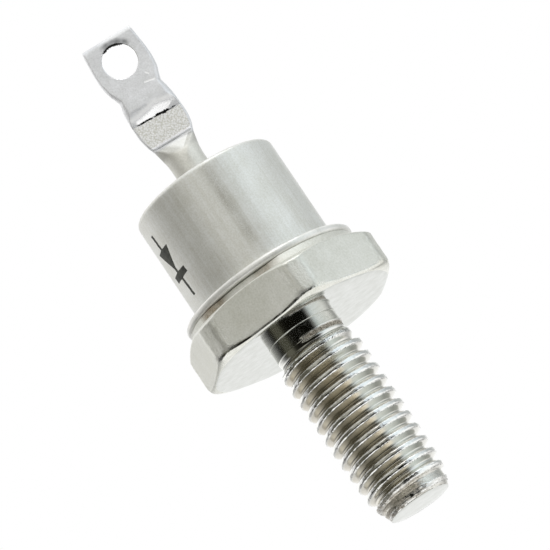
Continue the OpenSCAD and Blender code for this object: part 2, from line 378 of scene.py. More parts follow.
# bearings run from 0 in front to 90 on the right; four bearings are start, full, wane and end
hexagon = {"acrossFlats": 10.95, "height": 2.55, "cornerRadius": 6.05, "chamferAngle": 30, "turn": -14.25,
           "seatChamfer": 0.40, "topChamfer": 0.58, "edgeRound": 0.07, "seatEdgeRound": 0.19,
           "seatRoundEnd": (0.3, 0.6), "flatFrom": 5.1, "sideLevels": (0.45, 2.0), "seatRows": 16,
           "reliefRadius": 2.12, "reliefDepth": 0.03, "shankRadius": 2.06, "landRadius": 4.95,
           "landTop": 3.0, "seam": 0.06, "seamReach": 0.35, "pedestalRadius": 3.0, "pedestalTop": 3.45,
           "dentDepth": 0.030, "roughDepth": 0.008, "dentFrom": (5.75, 5.95), "frostAndHighlightFrom": (5.82, 5.97),
           "stains": [(1.0, (-56, -45, -36, -24)), (0.6, (-12, 0, 4, 14))], "stainSink": 0.03,
           "flashes": [(-4, 16, 120, 150), (-150, -120, -44, -27)], "flashRise": 0.055,
           "flashSwell": 0.036, "dullFace": (-110, -104, -56, -46)}


def hexagonBody(s, facing, turn):  # points of the body, and how burnished they are
    def gapsAt(x, y, z):  # distances outside the faces, the corner cylinder, both ends and both cones
        r = np.hypot(x, y)
        gaps = [x * math.cos(a) + y * math.sin(a) - half for a in facing]
        gaps += [r - corner, -z, z - height,
                 math.sin(slope) * (r - corner + low) - math.cos(slope) * z,
                 math.sin(slope) * (r - corner + top) + math.cos(slope) * (z - height)]
        return np.stack(gaps)

    def softAt(z):  # the softness that rounds an edge by the wanted radius
        seat, above = s["seatEdgeRound"], s["edgeRound"]
        return 0.42 * (seat + (above - seat) * ease(z, *s["seatRoundEnd"]))

    def outside(share):
        place = x * share, y * share, height / 2 + rise * share
        return softMost(gapsAt(*place), softAt(place[2]))

    half, corner, height = s["acrossFlats"] / 2, s["cornerRadius"], s["height"]
    low, top, slope = s["seatChamfer"], s["topChamfer"], math.radians(s["chamferAngle"])
    lowRise, topRise = low * math.tan(slope), top * math.tan(slope)
    lowSide, highSide = s["sideLevels"]
    profile = [(r, 0) for r in np.linspace(s["flatFrom"], corner - low, s["seatRows"])]
    profile += [(corner - low + low * t, lowRise * t) for t in after(0, 1, 18)]
    profile += [(corner, z) for z in after(lowRise, lowSide, 10)]
    profile += [(corner, z) for z in after(lowSide, highSide, 12)]
    profile += [(corner, z) for z in after(highSide, height - topRise, 8)]
    profile += [(corner - top * t, height - topRise * (1 - t)) for t in after(0, 1, 18)]
    profile += [(r, height) for r in after(corner - top, s["flatFrom"], 10)]
    r, z = np.array(profile).T
    x, y = np.outer(r, np.cos(turn)), np.outer(r, np.sin(turn))
    rise = np.outer(z - height / 2, np.ones(len(turn)))
    share = castOut(outside, np.full(x.shape, 0.5), np.full(x.shape, 1.2))
    body = np.stack([x * share, y * share, height / 2 + rise * share], -1).reshape(-1, 3)
    # edges are where two distances are nearly the same, and burnished most round the seat
    gaps = np.sort(gapsAt(*body.T), 0)
    edge = 1 - ease((gaps[-1] - gaps[-2]) / softAt(body[:, 2]), 2.2, 3.4)
    edge *= 1 - 0.65 * ease(body[:, 2], 0.30, 0.42)
    # small dents along the turned corners
    away = np.hypot(body[:, 0], body[:, 1])
    dent = s["dentDepth"] * np.clip(wobble(body, 0.30) - 0.1, 0, 1)
    dent += s["roughDepth"] * wobble(body, 0.12, 3.0)
    body[:, :2] *= (1 - dent * ease(away, *s["dentFrom"]) / away)[:, None]
    edge *= np.clip(0.9 + 0.5 * wobble(body, 0.35, 5.0), 0, 1)
    bearing = np.degrees(np.arctan2(body[:, 0], -body[:, 1]))
    edge *= 1 - 0.75 * between(bearing, *s["dullFace"]) * (1 - ease(body[:, 2], 0.5, 0.9))
    return body, edge


def hexagonLand(s, turn):  # rings of the land and pedestal, with their stain and the weld flash
    height, land, post = s["height"], s["landRadius"], s["pedestalRadius"]
    seam, inside = s["landTop"] - s["seam"], land - s["seamReach"]  # a dark gap stays open under the flange
    over = [(5.02, height), (land + 0.02, height + 0.004), (land, height + 0.03), (land, seam - 0.02)]
    over += [(land - 0.02, seam), (inside, seam), (inside, s["landTop"]), (post, s["landTop"])]
    over = revolve(over + [(post, s["pedestalTop"]), (0, s["pedestalTop"])], turn)
    wall, lip = slice(1, 5), slice(3, 6)  # rows of them
    bearing = np.degrees(np.arctan2(over[..., 0], -over[..., 1]))
    stain = sum(strength * between(bearing, *span) for strength, span in s["stains"])
    stain = np.clip(stain * (0.8 + 0.7 * wobble(over.reshape(-1, 3), 0.5).reshape(stain.shape)), 0, 1)
    # the flash fills the gap at both sides
    shut = np.maximum.reduce([between(bearing, *span) for span in s["flashes"]])
    over[lip, :, 2] += s["flashRise"] * shut[lip] - s["stainSink"] * stain[lip]
    over[wall, :, :2] *= 1 + s["flashSwell"] * shut[wall, :, None]
    stain *= over[..., 2] > height + 0.02
    return over.reshape(-1, 3), stain.reshape(-1), shut.reshape(-1)


def buildHexagon(s):
    facing = [math.radians(s["turn"] + 30 + 60 * i) for i in range(6)]
    # columns close up towards the corners, where the arched edges run
    side = np.radians(np.concatenate([np.linspace(0, 12, 17), after(12, 30, 61)]))
    side = np.concatenate([-side[::-1], side[1:-1]])
    turn = np.concatenate([a + side for a in facing])
    relief, shank = s["reliefRadius"], s["shankRadius"]
    under = [(shank - 0.05, s["reliefDepth"] + 0.02), (shank, s["reliefDepth"]), (relief - 0.03, 0.014)]
    under += [(r, 0) for r in (relief + 0.01, relief + 0.03, relief + 0.05)]
    under += [(r, 0) for r in np.linspace(relief + 0.3, 4.9, 7)]
    seatRows = len(under) + s["seatRows"] - 1
    under = revolve(under, turn).reshape(-1, 3)
    body, edge = hexagonBody(s, facing, turn)
    over, stain, shut = hexagonLand(s, turn)
    points = np.concatenate([under, body, over])
    faces = gridFaces(len(points) // len(turn), len(turn))
    which = np.arange(len(faces)) // len(turn) < seatRows  # the faced seat
    worn = ease(np.hypot(points[:, 0], points[:, 1]), *s["frostAndHighlightFrom"])
    wall = 0.5 * np.clip(1.3 * wobble(over, 1.3), 0, 1) * (1 - shut)
    edge = np.concatenate([np.zeros(len(under)), edge, wall])
    stain = np.concatenate([np.zeros(len(points) - len(stain)), stain])
    makePiece("hexagonBase", points, faces, [satinNickel, facedNickel], ["stud_base"],
              which, {"worn": worn, "edge": edge, "stain": stain})


buildHexagon(hexagon)


# crest, shank and drift, which is the lean to the right, are listed by height; the thread's start and the
# spans named from, end or top are depths below the seat
stud = {"pitch": 0.79375, "rootOnRight": -1.785, "crestFlat": 0.23, "flankSlope": 60, "rootRadius": 1.94,
        "crestRound": 0.042, "rootRound": 0.02, "end": -11.30, "top": 0.16, "columns": 216,
        "crest": [(-11.30, 1.77), (-11.275, 1.81), (-11.1, 1.885), (-10.85, 1.99), (-10.5, 2.13),
                  (-10.2, 2.23), (-9.8, 2.295), (-9.0, 2.335), (-7.0, 2.365), (-3.0, 2.375), (-1.4, 2.36),
                  (0.0, 2.36)],
        "shank": [(-1.5, 2.06), (-1.15, 2.02), (-0.85, 2.074), (-0.3, 2.05), (0.2, 2.04)],
        "threadStart": 1.12, "threadFull": 1.65,
        "drift": [(-11.3, 0.12), (-10.5, 0.10), (-9.0, 0.045), (-3.0, 0.025), (-1.4, 0.012), (0.0, 0.0)],
        "chewedEnd": (9.6, 10.8), "chewedTop": (1.2, 2.2), "chipDepth": 0.009, "waveDepth": 0.012,
        "burrDepth": 0.045, "burrWave": 0.02, "burrHalf": 0.03,
        "burrHeight": -0.62, "burr": 0.08, "scuffHeight": -0.82, "scuffHalf": 0.13, "scuffDepth": 0.035,
        "scuffSoft": 0.05, "scuffRough": 0.02, "scuffAround": (-10, 2, 150, 180), "toolTrace": 0.004,
        "latheStep": 0.21, "latheDepth": 0.004, "latheFrom": (10.35, 10.6), "endDish": 0.014,
        "cleanAround": (2, 24, 120, 160), "batteredFrom": (10.2, 10.5), "batteredAround": (8, 40),
        "rowsFromCrest": [0.0, 0.012, 0.02, 0.05, 0.08, 0.10, 0.115, 0.13, 0.145, 0.165, 0.20, 0.25,
                          0.30, 0.33, 0.36]}


def helixFaces(rows, columns, per):  # the last column joins the first one a turn further up
    i, j = np.meshgrid(np.arange(rows - 1), np.arange(columns), indexing="ij")
    seam = j == columns - 1
    k = (j + 1) % columns
    up = np.where(seam, np.clip(i - per, 0, rows - 1), i)
    down = np.where(seam, np.clip(i + 1 - per, 0, rows - 1), i + 1)
    faces = [i * columns + j, up * columns + k, down * columns + k, (i + 1) * columns + j]
    return np.stack(faces, -1).reshape(-1, 4)


def buildStud(s):
    pitch, columns, end = s["pitch"], s["columns"], s["end"]
    turn = evenly(columns)
    # rows follow the helix, so crests and roots run along the mesh; shares of a pitch go from root to root
    half = np.array(s["rowsFromCrest"])
    shares = np.concatenate([[0.0], 0.5 - half[:0:-1] / pitch, 0.5 + half / pitch])
    first = math.ceil((s["top"] - s["rootOnRight"]) / pitch) + 1
    last = math.floor((end - s["rootOnRight"]) / pitch) - 2
    part = np.concatenate([n + shares for n in range(last, first)])[::-1]
    axial = s["rootOnRight"] + part * pitch
    z = np.clip(axial[:, None] + pitch * turn / (2 * math.pi), end, s["top"])
    fromCrest = np.abs(part % 1 - 0.5) * pitch
    crest = listed(s["crest"], z)
    depth = (fromCrest - s["crestFlat"] / 2) * math.tan(math.radians(s["flankSlope"]))
    cut = s["crestRound"] * np.logaddexp(0, depth / s["crestRound"])
    about = 2.3  # radius at which the noise is taken
    places = np.stack([about * np.cos(turn) + 0 * z, about * np.sin(turn) + 0 * z, z], -1).reshape(-1, 3)
    fine, coarse = wobble(places, 0.11).reshape(z.shape), wobble(places, 0.42, 7.0).reshape(z.shape)
    # crests are chipped, and both of their edges rolled into burrs
    chewed = 1 + 0.5 * ease(-z, *s["chewedEnd"]) + 0.8 * (1 - ease(-z, *s["chewedTop"]))
    rim = np.exp(-((fromCrest - s["crestFlat"] / 2) / s["burrHalf"]) ** 2)[:, None]
    rolled = s["burrDepth"] * np.clip(fine - 0.05, 0, 1) - s["burrWave"] * coarse
    chip = (s["chipDepth"] * fine + s["waveDepth"] * coarse + rim * rolled) * chewed
    r = crest + chip * (1 - ease(fromCrest, 0.14, 0.20))[:, None] - cut[:, None]
    root = np.minimum(s["rootRadius"], crest - 0.03)
    r = root + s["rootRound"] * np.logaddexp(0, (r - root) / s["rootRound"])
    r = np.minimum(r, crest + 0.03)
    # the thread runs out into the shank, by the height of the crest at each place
    shank = listed(s["shank"], z)
    ridge = s["rootOnRight"] + pitch * (np.floor(part)[:, None] + 0.5 + turn / (2 * math.pi))
    begun = np.clip((-ridge - s["threadStart"]) / (s["threadFull"] - s["threadStart"]), 0, 1) ** 1.3
    fromRight = np.abs((turn + math.pi) % (2 * math.pi) - math.pi)
    burr = s["burr"] * np.exp(-((z - s["burrHeight"]) / 0.05) ** 2) * np.exp(-(fromRight / 0.45) ** 2)
    # the tool's first bite, from the front round to the right
    around = np.degrees((turn + 1.5 * math.pi) % (2 * math.pi)) - 180  # 0 in front, 90 on the right
    fromScuff = np.abs(z - s["scuffHeight"] - 0.03 * coarse)
    scuff = 1 - ease(fromScuff, s["scuffHalf"] - s["scuffSoft"], s["scuffHalf"] + s["scuffSoft"])
    start, full, wane, stop = s["scuffAround"]
    scuff *= ease(around + 8 * fine, start, full) * (1 - ease(around, wane, stop))
    trace = s["toolTrace"] * (1 - ease(fromCrest, 0.0, 0.014))[:, None]  # of the tool's way out
    lathe = s["latheDepth"] * np.cos(2 * math.pi * z / s["latheStep"]) * ease(-z, *s["latheFrom"])
    plain = trace - s["scuffDepth"] * scuff + s["scuffRough"] * fine * scuff
    r = shank + (r + lathe - shank) * begun + burr + plain * (1 - begun)
    points = np.stack([r * np.cos(turn) + listed(s["drift"], z), r * np.sin(turn), z], -1).reshape(-1, 3)
    rows = len(axial)
    faces = helixFaces(rows, columns, len(shares))
    # the end face, faced off flat
    edge, dish = listed(s["crest"], end), end - s["endDish"]
    ends = [(edge, end), (edge - 0.04, end - 0.012)] + [(edge * share, dish) for share in (0.7, 0.35, 0)]
    which = np.concatenate([np.zeros(len(faces), int), np.ones((len(ends) - 1) * columns, int)])
    faces = np.concatenate([faces, gridFaces(len(ends), columns) + rows * columns])
    ends = revolve(ends, turn).reshape(-1, 3)
    ends[:, 0] += listed(s["drift"], end)
    points = np.concatenate([points, ends])
    # grooves are stained brown in front and on the left
    stain = ease(fromCrest, 0.13, 0.20)[:, None] * begun * (1 - 0.25 * ease(-z, 3.0, 9.0))
    stain *= 1 - 0.75 * between(around, *s["cleanAround"])
    stain *= 1 - 0.3 * np.exp(-((around + 52) / 25) ** 2)
    # the last turns are battered and dull there
    streak = wobble(places * np.array([0.35, 0.35, 1.6]), 0.13, 2.0).reshape(z.shape)
    battered = 0.8 * ease(-z + 0.1 * coarse, *s["batteredFrom"])
    battered *= 1 - 0.6 * ease(around, *s["batteredAround"])
    battered *= np.clip(0.6 + 0.6 * fine + 1.2 * streak, 0, 1)
    values = {"crest": (1 - ease(fromCrest, 0.10, 0.16))[:, None] * begun, "groove": stain,
              "scuffed": np.maximum(scuff * (1 - begun), battered)}
    values = {key: np.concatenate([data.reshape(-1), np.zeros(len(ends))]) for key, data in values.items()}
    makePiece("threadedStud", points, faces, [turnedNickel, facedNickel], ["stud_base"],
              which, values)


buildStud(stud)


cap = {"flangeBottom": hexagon["landTop"], "flangeRadius": 5.19, "flangeThick": 0.45, "rimRound": 0.20,
       "filletRound": 0.25, "canRadius": 4.25, "top": 9.84, "edgeRound": 0.30, "wall": 0.40,
       "topThick": 0.55, "eyeletRadius": 1.90, "eyeletWall": 0.35, "eyeletDepth": 1.4,
       "eyeletChamfer": 0.06, "rubbedAt": -82.5, "rubbedWidth": 4.0, "rubbedFrom": (4.0, 5.5),
       "columns": 288}


def buildCap(s):
    low, rim, can, top = s["flangeBottom"], s["flangeRadius"], s["canRadius"], s["top"]
    high, inner, eye = low + s["flangeThick"], can - s["wall"], s["eyeletRadius"]
    ceiling, eyeEnd, eyeBack = top - s["topThick"], top - s["eyeletDepth"], eye + s["eyeletWall"]
    rimRound, fillet, edgeRound = s["rimRound"], s["filletRound"], s["edgeRound"]
    section = [(inner, low), (4.6, low)]
    section += bend((rim - rimRound, low + rimRound), rimRound, -90, 0, 7)
    section += bend((rim - rimRound, high - rimRound), rimRound, 0, 90, 7)
    section += [(can + fillet + 0.15, high + 0.01)]
    section += bend((can + fillet, high + fillet), fillet, 270, 180, 7)
    section += [(can, z) for z in np.linspace(high + fillet, top - edgeRound, 26)[1:-1]]
    section += bend((can - edgeRound, top - edgeRound), edgeRound, 0, 90, 8)
    section += [(3.0, top), (eye + s["eyeletChamfer"], top), (eye, top - s["eyeletChamfer"])]
    section += [(eye, eyeEnd), (eyeBack, eyeEnd), (eyeBack, ceiling), (inner, ceiling), (inner, low)]
    points = revolve(section, evenly(s["columns"])).reshape(-1, 3)
    away = np.degrees(np.arctan2(points[:, 1], points[:, 0])) - s["rubbedAt"]
    rubbed = np.exp(-(away / s["rubbedWidth"]) ** 2) * (0.7 + 0.4 * wobble(points, 1.2))
    rubbed *= ease(points[:, 2], *s["rubbedFrom"])
    # a painted highlight round the flange rim, growing towards its edge
    paintedRimHighlight = 0.7 * ease(np.hypot(points[:, 0], points[:, 1]), can + 0.3, rim - 0.1)
    paintedRimHighlight *= np.clip(0.7 + wobble(points, 0.8, 4.0), 0, 1)
    faces = gridFaces(len(section), s["columns"])
    makePiece("drawnCap", points, faces, [drawnNickel], ["cap"],
              values={"rubbed": rubbed, "rim": paintedRimHighlight})


buildCap(cap)


# rows are listed by where their spacing changes and how many follow; widths, the press gap, tilt and edge
# rounding by height; the width of the painted shade in the tear and the crown of the roll by the place
# across. The gap is wider than the tube where that stays round. A mark's span is of heights, unless it is
# named across, left, around or reach
terminal = {"tip": 19.60, "tipRound": 19.2, "eye": 18.065, "eyeRadius": 0.955, "eyeTall": 1.07,
            "eyeRound": 0.035, "lugThick": 0.66, "shift": -0.03,
            "rows": [(7.94, 16), (11.3, 53), (12.6, 33), (13.0, 30), (14.15, 50), (14.6, 40), (15.3, 60)],
            "halfWidth": [(7.9, 1.0), (11.4, 1.0), (11.8, 1.03), (12.13, 1.09), (12.46, 1.16),
                          (12.63, 1.19), (12.80, 1.245), (12.97, 1.31), (13.13, 1.375), (13.30, 1.415),
                          (13.47, 1.45), (13.64, 1.478), (13.81, 1.49), (14.14, 1.502), (14.48, 1.492),
                          (14.98, 1.476), (15.32, 1.448), (15.66, 1.391), (15.83, 1.354), (16.07, 1.298),
                          (16.33, 1.372), (16.50, 1.428), (16.67, 1.496), (16.84, 1.548), (17.01, 1.587),
                          (17.35, 1.625), (17.69, 1.641), (18.03, 1.638), (18.36, 1.618), (18.87, 1.573),
                          (19.38, 1.537), (19.60, 1.475)],
            "halfThick": [(7.9, 3.10), (11.79, 1.0), (12.68, 0.34), (12.735, 0.265), (12.76, 0.262),
                          (12.79, 0.30), (12.84, 0.315), (12.90, 0.275), (12.96, 0.25), (14.35, 0.25),
                          (14.41, 0.12), (14.45, 0.13), (14.49, 0.16), (15.10, 0.52), (15.17, 0.545),
                          (15.27, 0.557), (15.45, 0.547), (15.7, 0.515), (16.1, 0.45), (16.6, 0.41),
                          (17.1, 0.365), (17.6, 0.33), (18.4, 0.32), (18.9, 0.34), (19.1, 0.345),
                          (19.32, 0.338), (19.43, 0.31), (19.52, 0.265), (19.60, 0.18)],
            "tilt": [(11.5, 0.0), (12.82, 0.055), (14.35, 0.10), (15.2, 0.06), (16.1, 0.02), (17.0, 0.03),
                     (19.6, 0.041)],
            "edge": [(7.9, 1.0), (11.4, 1.0), (12.2, 0.85), (12.9, 0.55), (13.6, 0.50), (14.3, 0.62),
                     (15.7, 0.66), (19.6, 0.74)],
            "tear": [(-1.20, 0.0), (-1.12, 0.04), (-0.70, 0.05), (-0.30, 0.045), (-0.20, 0.0),
                     (-0.10, 0.02), (-0.02, 0.06), (0.10, 0.095), (0.45, 0.085), (0.70, 0.09), (0.80, 0.0),
                     (0.88, 0.035), (1.10, 0.04), (1.18, 0.0)],
            "crown": [(-1.4, 14.70), (-0.8, 14.76), (-0.3, 14.86), (0.2, 15.02), (0.5, 15.0), (1.0, 14.90),
                      (1.4, 14.85)],
            "scratches": [((0.83, 16.77), (0.95, 16.61), 0.05), ((0.50, 16.31), (1.05, 16.17), 0.065)],
            "scratchDepth": 0.012, "jagged": (14.1, 14.3, 14.41, 14.50),
            "slanted": (11.2, 11.8, 12.5, 12.75), "bitten": (12.90, 12.96, 14.33, 14.39),
            "bittenAcross": (0.90, 0.95), "tearHeight": 14.43, "lipHeight": 12.745, "lipHalf": 0.022,
            "lipAcross": (0.5, 0.95), "rollFrom": (14.46, 14.50), "rollLeft": (-1.25, -1.05),
            "frostAndHighlightFrom": (14.60, 14.80), "highlightFadeAcross": (1.25, 1.42), "facet": (11.8, 12.0, 12.60, 12.68),
            "grey": (11.85, 12.1, 12.62, 12.7), "flattened": (12.4, 12.8), "paintedTipHighlight": (19.28, 19.42),
            "eyeShadeAround": (28, 42, 100, 125), "eyeShadeReach": (0.12, 0.36),
            "raggedAround": (46, 62, 112, 126),
            "eyeLevels": [0.0, 0.03, 0.08, 0.14, 0.20, 0.27, 0.34, 0.42, 0.5, 0.7, 0.92, 0.97, 1.0]}


def smoothed(pairs, x, reach=0.05):  # the listed values, with corners taken off
    return sum(listed(pairs, x + d) for d in np.linspace(-reach, reach, 7)) / 7


def noiseAlong(x, size, seed):
    return wobble(np.stack([x, 0 * x, 0 * x + seed], -1).reshape(-1, 3), size).reshape(x.shape)


def fromLine(x, z, start, end):  # distance from a short straight scratch
    dx, dz = end[0] - start[0], end[1] - start[1]
    along = np.clip(((x - start[0]) * dx + (z - start[1]) * dz) / (dx ** 2 + dz ** 2), 0, 1)
    return np.hypot(x - start[0] - along * dx, z - start[1] - along * dz)


def terminalRows(s):  # heights of the rows, closer where the form changes fast
    ring = (s["eyeRadius"] + s["eyeRound"]) * s["eyeTall"]
    stretches = s["rows"] + [(s["eye"] - ring, 0)]
    rows = [np.linspace(low, high, count)[:-1] for (low, count), (high, _) in zip(stretches, stretches[1:])]
    rows += [s["eye"] + ring * np.cos(np.linspace(math.pi, 0, 121))]
    rows += [np.linspace(s["eye"] + ring, s["tipRound"], 6)[1:-1]]
    return np.concatenate(rows + [np.linspace(s["tipRound"], s["tip"], 24)])


def pressHalf(s, side, v, h, wide):  # casts each point from the axis out to the pressed section
    def outside(share):
        x, y = np.abs(side) * share, v * share
        rounded = np.hypot(np.maximum(x - (wide - corner), 0), y) - corner
        return softMost(np.stack([rounded, -y - front - slant, y - front - slant]), soft)

    corner = np.minimum(smoothed(s["edge"], h[:, :1], 0.2), wide)
    soft = 0.018 + 0.025 * (1 - ease(h, 12.0, 12.5))
    jag = 0.030 * noiseAlong(side, 0.14, 3.0) + 0.035 * noiseAlong(side, 0.6, 9.0)
    slant = -0.10 * side * between(h, *s["slanted"])
    dent = np.zeros(side.shape)
    for start, end, half in s["scratches"]:
        dent = np.maximum(dent, 1 - ease(fromLine(side, h, start, end), 0.2 * half, half))
    front = smoothed(s["halfThick"], h + jag * between(h, *s["jagged"]), 0.015) - s["scratchDepth"] * dent
    share = castOut(outside, np.zeros(side.shape), np.full(side.shape, 2.2))
    return side * share, v * share, jag, dent


def markHalf(s, x, y, z, h, out, jag, dent):  # out is the share of the way from the axis to the edge
    mark = wobble(np.stack([x, y, z], -1).reshape(-1, 3), 0.2).reshape(x.shape)
    # the jaws' bite, painted shade in the tear along its upper edge and painted shade under the lip along
    # its lower one
    bitten = between(h, *s["bitten"]) * (1 - ease(out, *s["bittenAcross"])) * (0.85 + 0.15 * mark)
    tear = np.where(y < 0, listed(s["tear"], x), 0.6 * listed(s["tear"], -x))
    tear = tear * (1 + 0.5 * mark + 0.6 * noiseAlong(x, 0.07, 2.0))
    fromTear = np.abs(h + jag + 0.035 * noiseAlong(x, 0.08, 8.0) - s["tearHeight"])
    paintedShade = np.where(tear > 0.004, 1 - ease(fromTear, 0.7 * tear, tear + 0.012), 0)
    lip = 0.55 * np.exp(-((h - s["lipHeight"]) / s["lipHalf"]) ** 2)
    lip *= 1 - ease(np.abs(x + 0.3), *s["lipAcross"])
    # a burnished roll above the tear, with a white painted highlight from its upper part to past its crown
    crown = listed(s["crown"], x) + 0.04 * mark + 0.04 * noiseAlong(x, 0.08, 6.0)
    roll = 0.92 * between(h, *s["rollFrom"], crown - 0.20, crown + 0.12)
    roll *= ease(x, *s["rollLeft"]) * (1 - ease(x - 1.8 * (h - 14.58), 0.82, 0.97))
    paintedHighlightFade = 0.85 * between(h, *s["frostAndHighlightFrom"], crown + 0.06, crown + 0.32)
    paintedHighlightFade *= (1 - ease(np.abs(x), *s["highlightFadeAcross"])) * (1 - roll)
    # a white painted highlight on a facet under the bite with painted shade round it, and painted shade
    # beside the eye
    facet = between(h, *s["facet"]) * ease(x + 1.1 * (h - 12.63), -0.72, -0.25)
    facet *= 1 - ease(x - 0.887 * (h - 12.54), 0.76, 0.82)
    grey = 0.2 * between(h, *s["grey"]) * (1 - facet)
    paintedEyeShade = 0.6 * between(np.degrees(np.arctan2(h - s["eye"], x)), *s["eyeShadeAround"]) * (0.8 + 0.4 * mark)
    fromEye = np.hypot(x, (h - s["eye"]) / s["eyeTall"]) - s["eyeRadius"] - s["eyeRound"]
    paintedEyeShade *= 1 - ease(fromEye, *s["eyeShadeReach"])
    rim = 0.35 * ease(out, 0.965, 0.99) * ease(h, 12.9, 13.2) * (0.8 + 0.4 * mark)
    # a white painted highlight along the tip end
    paintedTipHighlight = 0.5 * ease(h, *s["paintedTipHighlight"]) * ease(x, -0.6, 0.2)
    return {"bitten": bitten,
            "paintedShade": np.clip(np.maximum.reduce([paintedShade, lip, grey, paintedEyeShade]), 0, 1),
            "burnished": np.clip(np.maximum(roll, rim), 0, 1),
            "flattened": ease(h, *s["flattened"]),
            # white painted highlights: on the scratches' front, fading above the roll, on the facet and
            # along the tip end
            "paintedHighlight": np.maximum.reduce([np.where(y < 0, dent, 0), paintedHighlightFade, 0.4 * facet, paintedTipHighlight])}


def eyeWall(s, front, back):  # half of it, with a small round at both faces, and painted shade across its upper front, ragged where it tore
    levels = np.array(s["eyeLevels"])  # shares of the way from the front face to the back
    centre = np.array([s["shift"], 0, s["eye"]])
    strip = []
    for t in levels:
        level = front + (back - front) * t
        deep = min(min(t, 1 - t) * s["lugThick"] / s["eyeRound"], 1)
        flare = s["eyeRound"] * (1 - math.sqrt(max(0, 1 - (1 - deep) ** 2)))
        scale = (s["eyeRadius"] + flare) / (s["eyeRadius"] + s["eyeRound"])
        moved = centre + (level - centre) * np.array([scale, 1, scale])
        strip.append(moved if 0 < t < 1 else level)
    bearing = np.degrees(np.arctan2(front[:, 2] - s["eye"], front[:, 0] - s["shift"]))
    ragged = 0.5 * between(bearing, *s["raggedAround"])
    ragged *= 1 + 0.7 * noiseAlong(bearing / 40, 0.12, 5.0)
    # painted shade on the wall's upper front, near black
    dark = 1 - ease(levels[:, None] + 0 * ragged, 0.75 * ragged, ragged + 0.05)
    return np.array(strip), dark * (ragged > 0.05)


def buildTerminal(s):
    rows, ring = terminalRows(s), s["eyeRadius"] + s["eyeRound"]
    # the eye opens as a slit between the two halves
    gap = np.sqrt(np.clip(ring ** 2 - ((rows - s["eye"]) / s["eyeTall"]) ** 2, 0, None))[:, None]
    wide, deep = smoothed(s["halfWidth"], rows)[:, None], smoothed(s["halfThick"], rows, 0.03)[:, None]
    across = np.concatenate([np.linspace(0, 0.86, 42), after(0.86, 1, 7)])
    around = np.linspace(1, -1, 15)[1:-1]
    face = gap + (wide - gap) * across
    u = np.concatenate([face, wide + 0 * around, face[:, ::-1]], 1)
    v = np.concatenate([-deep + 0 * across, -deep * around, deep + 0 * across], 1)
    v = np.clip(v, -wide, wide)
    h = rows[:, None] + 0 * u
    grids, values = [], {name: [] for name in pressMarks}
    for hand in (1, -1):
        x, y, jag, dent = pressHalf(s, hand * u, v, h, wide)
        z = h - listed(s["tilt"], h) * x
        half = np.stack([x + s["shift"], y, z], -1)
        tip = half[-1:] * np.array([1, 0, 1])  # the sheared end
        bottom = half[:1] * np.array([0, 0, 1]) + np.array([s["shift"], 0, 0])
        grids.append(np.concatenate([bottom, half, tip]))
        for name, data in markHalf(s, x, y, z, h, u / wide, jag, dent).items():
            values[name].append(np.concatenate([data[:1], data, data[-1:]]).reshape(-1))
    opened = np.where(gap[:, 0] > 1e-9)[0]
    opened = np.concatenate([[opened[0] - 1], opened, [opened[-1] + 1]])
    for half in [grid[1:-1] for grid in grids]:
        strip, paintedShade = eyeWall(s, half[opened, 0], half[opened, -1])
        grids.append(strip)
        for name, value in zip(pressMarks, (0.0, paintedShade, 1.0, 1.0, 0.0)):
            values[name].append(np.full(strip.shape[:2], value).reshape(-1))
    points = [grid.reshape(-1, 3) for grid in grids]
    starts = np.cumsum([0] + [len(part) for part in points])
    faces = [gridFaces(*grid.shape[:2], closed=False) + start for grid, start in zip(grids, starts)]
    values = {name: np.concatenate(data) for name, data in values.items()}
    makePiece("pressedTerminal", np.concatenate(points), np.concatenate(faces), [pressedNickel],
              ["terminal_tube"], values=values)


buildTerminal(terminal)


# printed diode sign, pointing to the stud
sign = {"azimuth": -61.8, "lean": 1.3, "leanHeight": 6.55, "canRadius": cap["canRadius"], "film": 0.006,
        "rag": 0.03, "lineTop": 8.55, "lineBottom": 4.46, "lineWidth": 0.24, "triangleTop": 7.58,
        "triangleBottom": 6.10, "triangleWidth": 1.65, "barTop": 6.06, "barBottom": 5.64, "barWidth": 1.75,
        "step": 0.03, "columns": 13}


def buildSign(s):
    can, film, columns = s["canRadius"], s["film"], s["columns"]
    low, high = s["triangleBottom"], s["triangleTop"]
    grid = []
    for z in np.arange(s["lineTop"], s["lineBottom"] - 0.001, -s["step"]):
        half = s["lineWidth"] / 2
        if low <= z <= high:
            half = max(half, s["triangleWidth"] / 2 * (z - low) / (high - low))
        if s["barBottom"] <= z <= s["barTop"]:
            half = s["barWidth"] / 2
        rag = [s["rag"] * noise.noise(Vector((z / 0.2, side * 5, 2.0))) for side in (-1, 1)]
        along = np.linspace(-half - rag[0], half + rag[1], columns)
        azimuth = np.radians(s["azimuth"] + s["lean"] * (s["leanHeight"] - z)) + along / can
        r = can + film + 0 * along
        r[[0, -1]] -= 2 * film
        grid.append(np.stack([r * np.sin(azimuth), -r * np.cos(azimuth), z + 0 * along], -1))
    grid = np.array(grid)
    grid[[0, -1], :, :2] *= (can - film) / can
    makePiece("printedSign", grid.reshape(-1, 3), gridFaces(len(grid), columns, closed=False), [padInk])


buildSign(sign)


